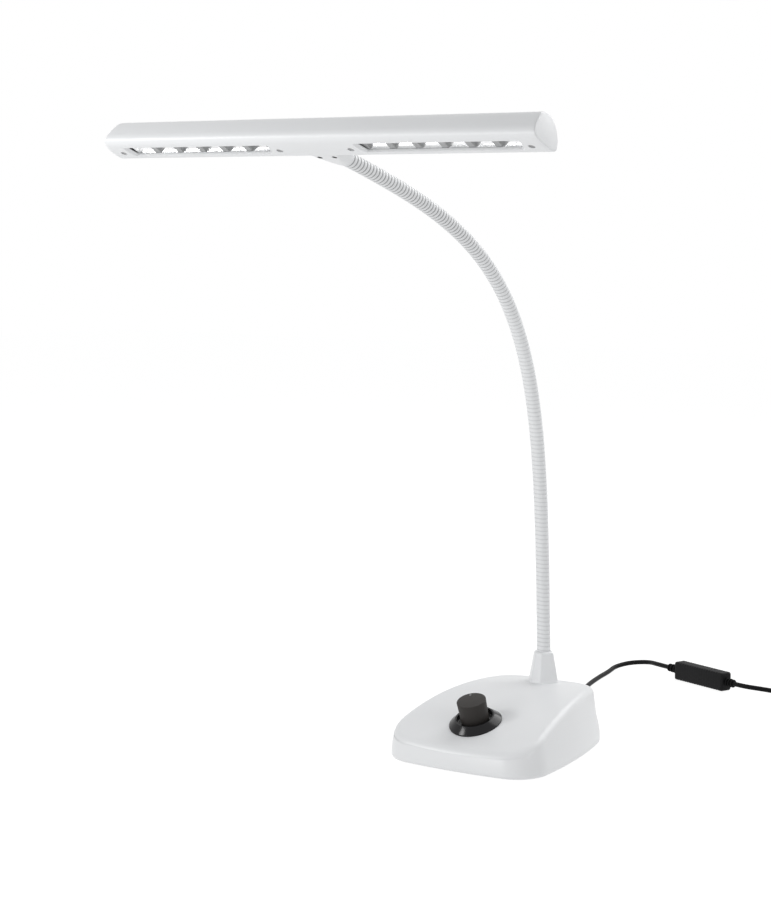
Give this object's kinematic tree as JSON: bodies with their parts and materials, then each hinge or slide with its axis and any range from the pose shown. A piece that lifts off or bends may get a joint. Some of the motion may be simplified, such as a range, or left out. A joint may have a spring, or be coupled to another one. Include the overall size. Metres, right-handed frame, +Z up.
{
  "type": "piano lamp",
  "caption": "Weighted wedge base with a turning dimmer knob, a posable gooseneck and a long light head with rows of small reflector cups, fed by a low-voltage lead",
  "frame": {"origin": "The middle of the face that the base rests on, which is the table's plane.", "axes": "+Z up, -Y towards the player, +X along the lamp head to the player's right."},
  "size_m": [0.4421, 0.5563, 0.4469],
  "materials": {
    "white_shell": "satin white moulded plastic",
    "white_neck": "white plastic sleeved steel spiral",
    "black_gloss": "polished black",
    "knob_dark": "fine matt dark grey",
    "pointer_white": "white paint",
    "steel": "zinc plated",
    "screw_black": "blackened steel",
    "iron": "rough cast",
    "pad_rubber": "matt non-slip",
    "cord_black": "soft black sheath",
    "moulded_black": "fine textured black",
    "board_green": "coated circuit board",
    "board_white": "white coated metal-core board",
    "reflector": "metallised plastic",
    "led": "yellow phosphor chip",
    "brass_pins": "plated contact pins"
  },
  "bodies": {
    "base": {"base_shell": "white_shell", "base_plate": "steel", "grip_pad": "pad_rubber", "base_screws": "steel", "ballast": "iron", "bezel": "black_gloss", "dimmer": "steel", "dimmer_nut": "steel", "dimmer_board": "board_green", "neck_socket": "white_shell", "socket_nut": "steel", "neck_foot": "white_neck", "cord_relief": "cord_black", "lamp_lead": "cord_black", "coupling_socket": "moulded_black", "coupling_plug": "moulded_black", "supply_lead": "cord_black", "lead_coil": "cord_black", "adapter_lead": "cord_black", "adapter_body": "moulded_black", "adapter_pins": "brass_pins"},
    "knob": {"knob": "knob_dark", "knob_pointer": "pointer_white", "dimmer_shaft": "steel"},
    "neck_link_01": {"neck_link_01": "white_neck"},
    "neck_link_02": {"neck_link_02": "white_neck"},
    "neck_link_03": {"neck_link_03": "white_neck"},
    "neck_link_04": {"neck_link_04": "white_neck"},
    "neck_link_05": {"neck_link_05": "white_neck"},
    "neck_link_06": {"neck_link_06": "white_neck"},
    "neck_link_07": {"neck_link_07": "white_neck"},
    "neck_link_08": {"neck_link_08": "white_neck"},
    "neck_link_09": {"neck_link_09": "white_neck"},
    "neck_link_10": {"neck_link_10": "white_neck"},
    "neck_link_11": {"neck_link_11": "white_neck"},
    "neck_link_12": {"neck_link_12": "white_neck"},
    "head": {"neck_tip": "white_neck", "neck_holder": "white_shell", "holder_screws": "screw_black", "head_shell": "white_shell", "head_cover": "white_shell", "cover_screws": "screw_black", "end_cap_left": "white_shell", "end_cap_right": "white_shell", "reflector_left": "reflector", "reflector_right": "reflector", "led_board_left": "board_white", "led_board_right": "board_white", "led_chips_left": "led", "led_chips_right": "led"}
  },
  "joints": [
    {"name": "neck_lower_bend", "type": "hinge", "parent": "base", "child": "neck_link_01", "pos_m": [0, 0.05048, 0.06675], "axis": [1, 0, 0], "range_deg": [-8, 8]},
    {"name": "neck_lower_bend_2", "type": "hinge", "parent": "neck_link_01", "child": "neck_link_02", "pos_m": [0, 0.04909, 0.1064], "axis": [1, 0, 0], "range_deg": [-8, 8]},
    {"name": "neck_side_bend", "type": "hinge", "parent": "neck_link_02", "child": "neck_link_03", "pos_m": [0, 0.04713, 0.14601], "axis": [0, -0.9981, -0.0612], "range_deg": [-8, 8]},
    {"name": "neck_lower_bend_3", "type": "hinge", "parent": "neck_link_03", "child": "neck_link_04", "pos_m": [0, 0.04398, 0.18555], "axis": [1, 0, 0], "range_deg": [-8, 8]},
    {"name": "neck_lower_bend_4", "type": "hinge", "parent": "neck_link_04", "child": "neck_link_05", "pos_m": [0, 0.03857, 0.22484], "axis": [1, 0, 0], "range_deg": [-8, 8]},
    {"name": "neck_side_bend_2", "type": "hinge", "parent": "neck_link_05", "child": "neck_link_06", "pos_m": [0, 0.02913, 0.26334], "axis": [0, -0.9517, -0.3071], "range_deg": [-8, 8]},
    {"name": "neck_upper_bend", "type": "hinge", "parent": "neck_link_06", "child": "neck_link_07", "pos_m": [0, 0.01351, 0.29973], "axis": [1, 0, 0], "range_deg": [-8, 8]},
    {"name": "neck_upper_bend_2", "type": "hinge", "parent": "neck_link_07", "child": "neck_link_08", "pos_m": [0, -0.00959, 0.33186], "axis": [1, 0, 0], "range_deg": [-8, 8]},
    {"name": "neck_side_bend_3", "type": "hinge", "parent": "neck_link_08", "child": "neck_link_09", "pos_m": [0, -0.03937, 0.35796], "axis": [0, -0.5784, -0.8158], "range_deg": [-8, 8]},
    {"name": "neck_upper_bend_3", "type": "hinge", "parent": "neck_link_09", "child": "neck_link_10", "pos_m": [0, -0.07348, 0.37812], "axis": [1, 0, 0], "range_deg": [-8, 8]},
    {"name": "neck_upper_bend_4", "type": "hinge", "parent": "neck_link_10", "child": "neck_link_11", "pos_m": [0, -0.10984, 0.39394], "axis": [1, 0, 0], "range_deg": [-8, 8]},
    {"name": "neck_side_bend_4", "type": "hinge", "parent": "neck_link_11", "child": "neck_link_12", "pos_m": [0, -0.14724, 0.40714], "axis": [0, -0.3113, -0.9503], "range_deg": [-8, 8]},
    {"name": "neck_upper_bend_5", "type": "hinge", "parent": "neck_link_12", "child": "head", "pos_m": [0, -0.18511, 0.41894], "axis": [1, 0, 0], "range_deg": [-8, 8]},
    {"name": "knob_turn", "type": "hinge", "parent": "base", "child": "knob", "pos_m": [0, -0.0421, 0.02919], "axis": [0, -0.3291, 0.9443], "range_deg": [-120, 150]}
  ],
  "couplings": [
    {"joint": "neck_lower_bend_2", "follows": "neck_lower_bend", "ratio": 1},
    {"joint": "neck_lower_bend_3", "follows": "neck_lower_bend", "ratio": 1},
    {"joint": "neck_lower_bend_4", "follows": "neck_lower_bend", "ratio": 1},
    {"joint": "neck_side_bend_2", "follows": "neck_side_bend", "ratio": 1},
    {"joint": "neck_side_bend_3", "follows": "neck_side_bend", "ratio": 1},
    {"joint": "neck_side_bend_4", "follows": "neck_side_bend", "ratio": 1},
    {"joint": "neck_upper_bend_2", "follows": "neck_upper_bend", "ratio": 1},
    {"joint": "neck_upper_bend_3", "follows": "neck_upper_bend", "ratio": 1},
    {"joint": "neck_upper_bend_4", "follows": "neck_upper_bend", "ratio": 1},
    {"joint": "neck_upper_bend_5", "follows": "neck_upper_bend", "ratio": 1}
  ]
}
